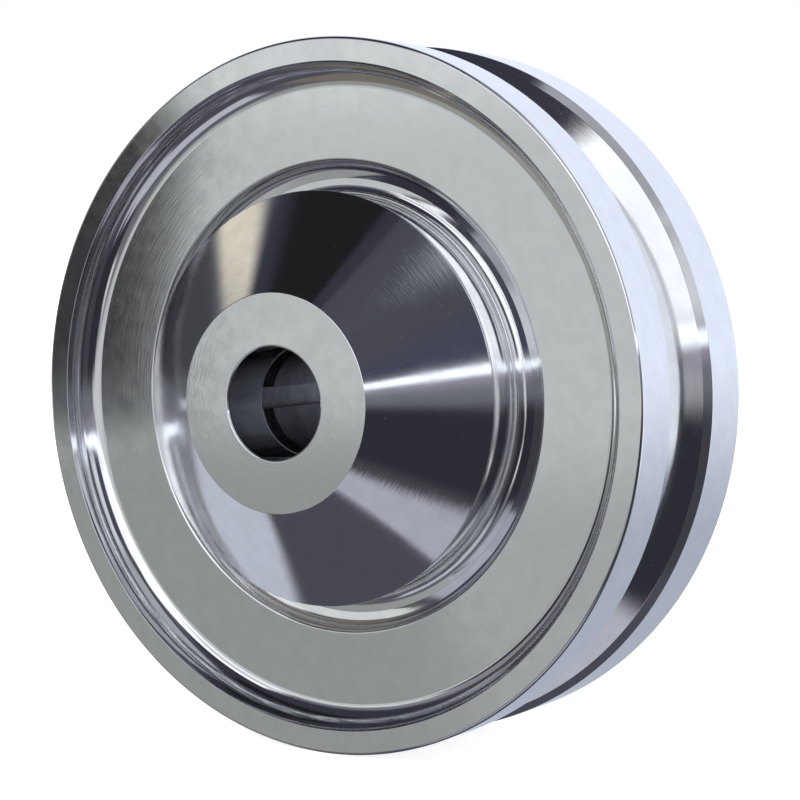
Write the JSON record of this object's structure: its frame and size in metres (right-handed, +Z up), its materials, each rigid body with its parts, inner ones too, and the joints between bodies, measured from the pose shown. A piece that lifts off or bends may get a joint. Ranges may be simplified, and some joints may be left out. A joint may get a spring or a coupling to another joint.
{
  "type": "supercharger drive pulley",
  "caption": "Polished wide-groove drive pulley with a recessed web and conical keyed hub, turning on ball bearings in a flanged carrier that bolts to a supercharger.",
  "frame": {"origin": "centre of the carrier's mounting face, on the pulley's axis", "axes": "+Y along the axis of rotation towards the supercharger, so the pulley's front faces -Y; +Z up; the keyway is on the -X side"},
  "size_m": [0.1588, 0.0877, 0.1588],
  "materials": {
    "chrome": "mirror polished, with fine turned marks",
    "machined_steel": "machined",
    "bearing_steel": "ground",
    "cage_brass": "machined",
    "black_steel": "black oxide",
    "cast_aluminium": "bead blasted, with machined faces",
    "rubber": "matt"
  },
  "bodies": {
    "carrier": {"bearing_carrier": "cast_aluminium", "flange_o_ring": "rubber", "retaining_ring": "black_steel", "outer_race_spacer": "machined_steel", "front_bearing_outer_race": "bearing_steel", "front_bearing_seal": "rubber", "rear_bearing_outer_race": "bearing_steel", "rear_bearing_seal": "rubber"},
    "pulley": {"front_sheave": "chrome", "rear_sheave": "chrome", "hub_cone": "chrome", "drive_sleeve": "machined_steel", "inner_race_spacer": "machined_steel", "tab_washer": "machined_steel", "dowel_pin_1": "bearing_steel", "dowel_pin_2": "bearing_steel", "front_bearing_inner_race": "bearing_steel", "rear_bearing_inner_race": "bearing_steel", "lock_nut": "black_steel", "hub_screw_1": "black_steel", "hub_screw_2": "black_steel", "hub_screw_3": "black_steel", "hub_screw_4": "black_steel", "hub_screw_5": "black_steel", "hub_screw_6": "black_steel", "hub_screw_washer_1": "black_steel", "hub_screw_washer_2": "black_steel", "hub_screw_washer_3": "black_steel", "hub_screw_washer_4": "black_steel", "hub_screw_washer_5": "black_steel", "hub_screw_washer_6": "black_steel", "sheave_screw_1": "black_steel", "sheave_screw_2": "black_steel", "sheave_screw_3": "black_steel", "sheave_screw_4": "black_steel", "sheave_screw_5": "black_steel", "sheave_screw_6": "black_steel"},
    "front_ball_set": {"front_bearing_cage": "cage_brass", "front_bearing_ball_1": "bearing_steel", "front_bearing_ball_2": "bearing_steel", "front_bearing_ball_3": "bearing_steel", "front_bearing_ball_4": "bearing_steel", "front_bearing_ball_5": "bearing_steel", "front_bearing_ball_6": "bearing_steel", "front_bearing_ball_7": "bearing_steel", "front_bearing_ball_8": "bearing_steel"},
    "rear_ball_set": {"rear_bearing_cage": "cage_brass", "rear_bearing_ball_1": "bearing_steel", "rear_bearing_ball_2": "bearing_steel", "rear_bearing_ball_3": "bearing_steel", "rear_bearing_ball_4": "bearing_steel", "rear_bearing_ball_5": "bearing_steel", "rear_bearing_ball_6": "bearing_steel", "rear_bearing_ball_7": "bearing_steel", "rear_bearing_ball_8": "bearing_steel"}
  },
  "joints": [
    {"name": "pulley_spin", "type": "hinge", "parent": "carrier", "child": "pulley", "pos_m": [0, 0, 0], "axis": [0, 1, 0], "continuous": true},
    {"name": "front_balls_turn", "type": "hinge", "parent": "carrier", "child": "front_ball_set", "pos_m": [0, -0.033, 0], "axis": [0, 1, 0], "continuous": true},
    {"name": "rear_balls_turn", "type": "hinge", "parent": "carrier", "child": "rear_ball_set", "pos_m": [0, -0.0154, 0], "axis": [0, 1, 0], "continuous": true}
  ],
  "couplings": [
    {"joint": "front_balls_turn", "follows": "pulley_spin", "ratio": 0.4237},
    {"joint": "rear_balls_turn", "follows": "pulley_spin", "ratio": 0.4237}
  ]
}
